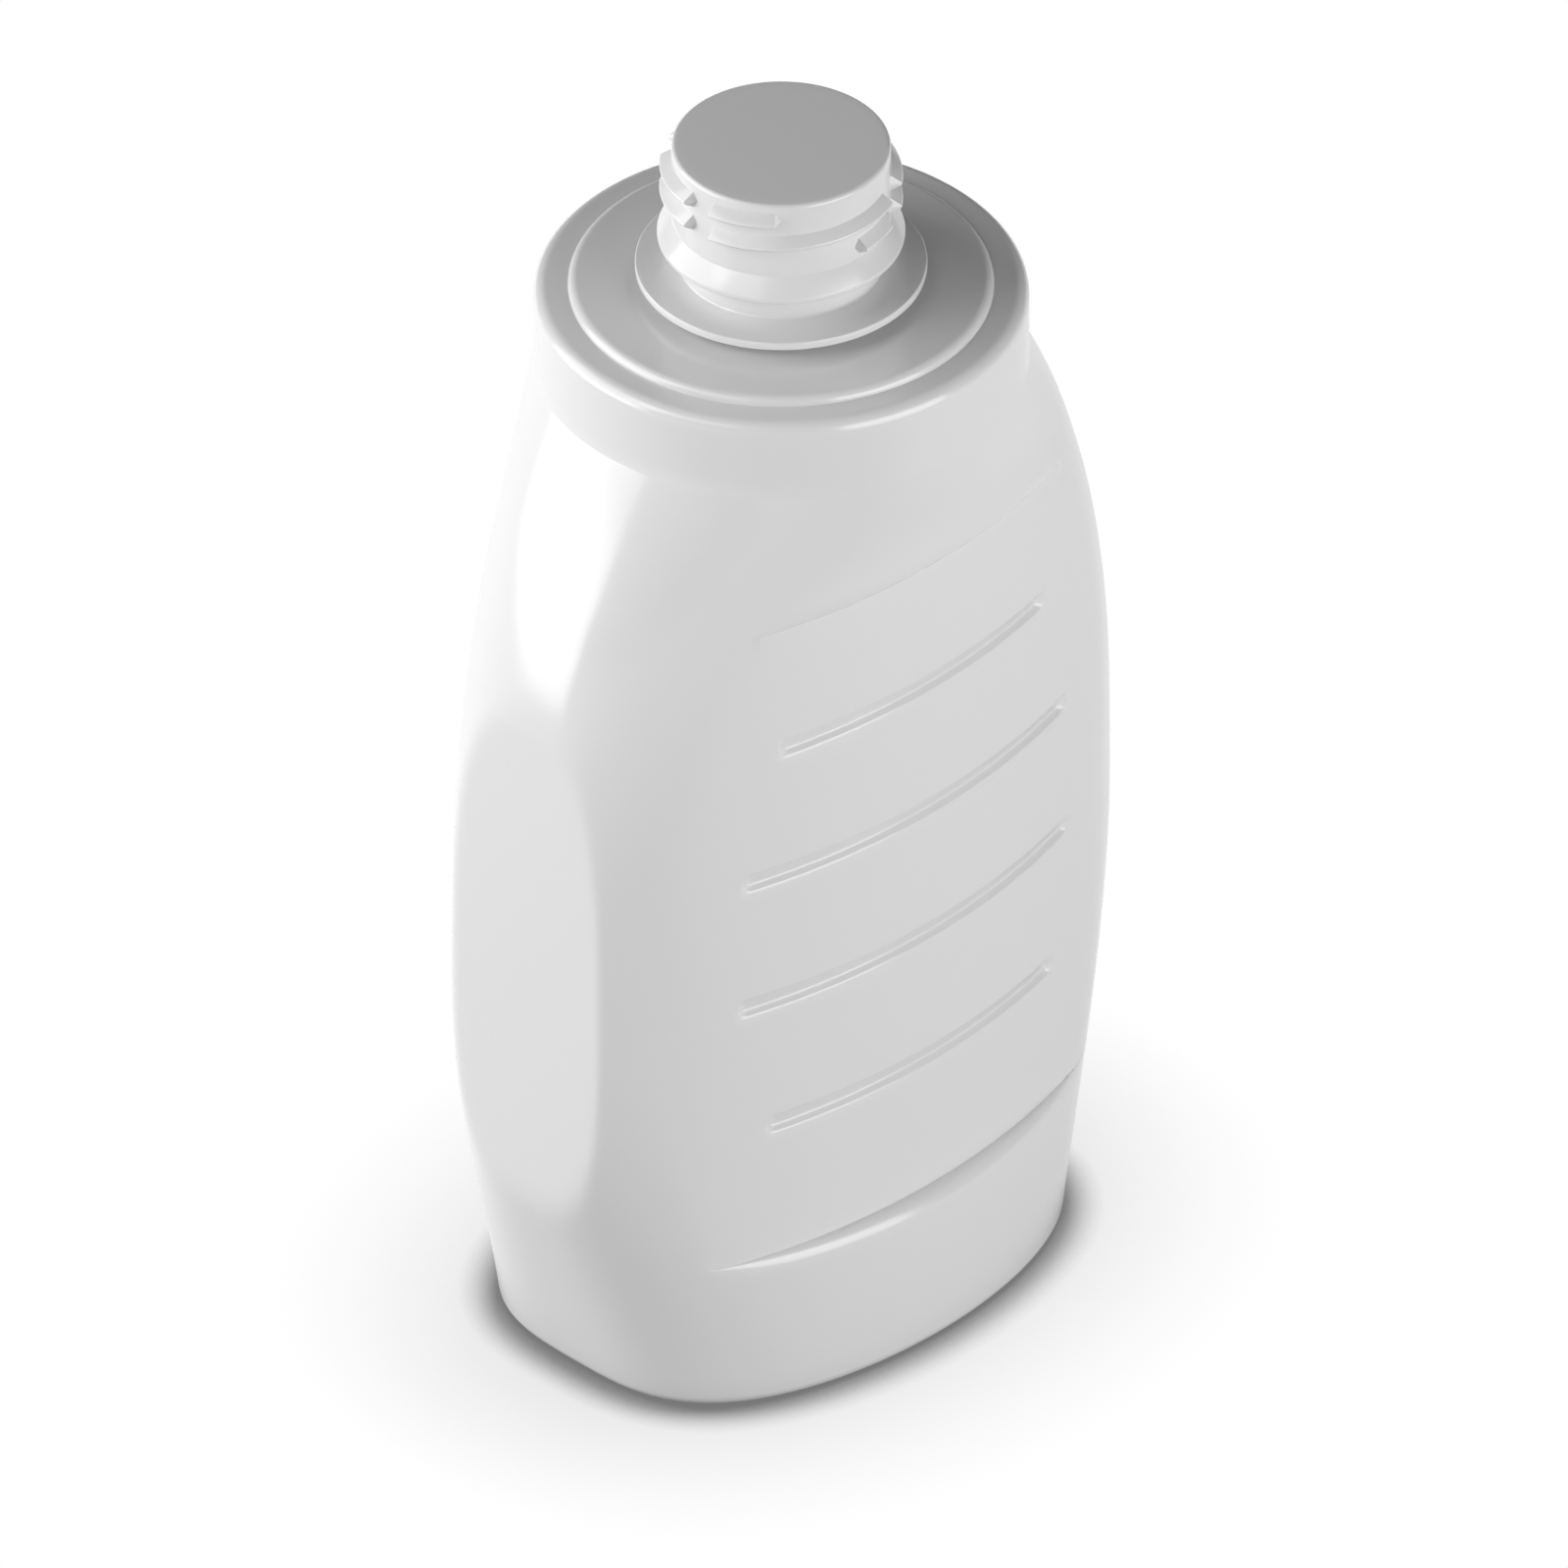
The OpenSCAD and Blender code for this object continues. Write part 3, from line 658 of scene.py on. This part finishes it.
class BOTTLE_OT_mouth_seal(bpy.types.Operator):
    """Disc welded over the mouth."""
    bl_idname = "bottle.mouth_seal"
    bl_label = "Mouth seal"

    def execute(self, context):
        scene = context.scene
        neck = scene.neck_sizes
        radius = SEAL_HIGH.x
        outline = [(radius / 2, SEAL_LOW.z), (radius, SEAL_LOW.z)]
        outline += arc(radius - neck.seal_r, SEAL_HIGH.z - neck.seal_r, neck.seal_r, 0, 90, 8)
        outline += [(radius - 1.5 * MM, SEAL_HIGH.z), (radius / 2, SEAL_HIGH.z)]
        rings = [round_ring(r, z) for r, z in outline]
        verts = np.concatenate(rings).tolist() + [(0, 0, SEAL_LOW.z), (0, 0, SEAL_HIGH.z)]
        piece = new_piece("mouth_seal_disc", verts, skin_faces(len(rings)), shared_finish(scene.finish_settings))
        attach(piece, "root")
        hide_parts("mouth_seal")
        return {"FINISHED"}


def add_camera(stage):
    """The camera, with parallel rays, as the photograph has them."""
    view = Vector((math.cos(stage.azimuth) * math.cos(stage.elevation),
                   math.sin(stage.azimuth) * math.cos(stage.elevation),
                   math.sin(stage.elevation)))
    side = Vector((-math.sin(stage.azimuth), math.cos(stage.azimuth), 0))
    data = bpy.data.cameras.new("camera")
    data.type = "ORTHO"
    data.ortho_scale = stage.view_w
    camera = bpy.data.objects.new("camera", data)
    camera.location = Vector((0, 0, stage.aim_z)) + side * stage.aim_side + view * CAMERA_REACH
    camera.rotation_euler = (-view).to_track_quat("-Z", "Y").to_euler()
    bpy.context.scene.collection.objects.link(camera)
    bpy.context.scene.camera = camera


def add_lamp(name, azimuth, elevation, width, height, radiance):
    """A soft box that faces the bottle's middle. Its azimuth and elevation are in degrees."""
    a, e = math.radians(azimuth), math.radians(elevation)
    way = Vector((math.cos(a) * math.cos(e), math.sin(a) * math.cos(e), math.sin(e)))
    data = bpy.data.lights.new(name, "AREA")
    data.shape = "RECTANGLE"
    data.size = width
    data.size_y = height
    data.energy = radiance * math.pi * width * height
    lamp = bpy.data.objects.new(name, data)
    lamp.location = Vector((0, 0, LAMP_AIM_Z)) + way * LAMP_REACH
    lamp.rotation_euler = (-way).to_track_quat("-Z", "Y").to_euler()
    bpy.context.scene.collection.objects.link(lamp)


def add_world(strength):
    """An even, weak world, the same for every ray."""
    world = bpy.data.worlds.new("dim_world")
    world.use_nodes = True
    tree = world.node_tree
    tree.nodes.clear()
    sky = add_node(tree, "ShaderNodeBackground", {"Color": (1, 1, 1, 1), "Strength": strength})
    add_node(tree, "ShaderNodeOutputWorld", Surface=sky.outputs["Background"])
    bpy.context.scene.world = world


# Soft boxes: two to the left of the camera and two to its right, and a fill high on its left.
# Name, azimuth and elevation in degrees, width and height in metres, radiance
SOFT_BOXES = (
    ("left_box", 139, 23, 0.68, 0.74, 3.23),
    ("left_box_low", 137, 3, 0.68, 0.28, 2.65),
    ("right_box", 275, 14, 0.60, 0.50, 4.25),
    ("right_box_high", 266, 30, 0.45, 0.28, 0.86),
    ("back_fill", 180, 45, 0.50, 0.25, 1.70),
)


class BOTTLE_OT_stage(bpy.types.Operator):
    """White floor, soft lamps and the camera."""
    bl_idname = "bottle.stage"
    bl_label = "Stage"

    def execute(self, context):
        stage = context.scene.stage_settings
        reach = 2.0
        corners = [(-reach, -reach, 0), (reach, -reach, 0), (reach, reach, 0), (-reach, reach, 0)]
        floor = new_piece("floor", corners, [(0, 1, 2, 3)], white_floor(stage))
        floor.location.z = cad_box[0][2]
        add_camera(stage)
        add_world(stage.world)
        for lamp in SOFT_BOXES:
            add_lamp(*lamp)
        context.scene.view_settings.view_transform = "Standard"
        return {"FINISHED"}


class BOTTLE_PT_sidebar(bpy.types.Panel):
    """The bottle's operators and sizes."""
    bl_idname = "BOTTLE_PT_sidebar"
    bl_label = "Squeeze bottle"
    bl_space_type = "VIEW_3D"
    bl_region_type = "UI"
    bl_category = "Bottle"

    def draw(self, context):
        for operator in OPERATORS:
            self.layout.operator(operator.bl_idname)
        for attribute, group in GROUPS.items():
            box = self.layout.box()
            box.label(text=group.__doc__)
            for key in group.__annotations__:
                box.prop(getattr(context.scene, attribute), key)


GROUPS = {
    "body_sizes": BodySizes,
    "grip_sizes": GripSizes,
    "neck_sizes": NeckSizes,
    "finish_settings": FinishSettings,
    "stage_settings": StageSettings,
}
OPERATORS = (BOTTLE_OT_stage, BOTTLE_OT_blown_body, BOTTLE_OT_mouth_seal)


def register():
    """Registers the property groups, the operators and the panel."""
    for cls in (*GROUPS.values(), *OPERATORS, BOTTLE_PT_sidebar):
        bpy.utils.register_class(cls)
    for attribute, group in GROUPS.items():
        setattr(bpy.types.Scene, attribute, bpy.props.PointerProperty(type=group))


def unregister():
    """Takes back what register did."""
    for attribute in GROUPS:
        delattr(bpy.types.Scene, attribute)
    for cls in (BOTTLE_PT_sidebar, *reversed(OPERATORS), *reversed(GROUPS.values())):
        bpy.utils.unregister_class(cls)


def main():
    """Builds the stage and both pieces, in order."""
    register()
    bpy.ops.bottle.stage()
    bpy.ops.bottle.blown_body()
    bpy.ops.bottle.mouth_seal()


if __name__ == "__main__":
    main()
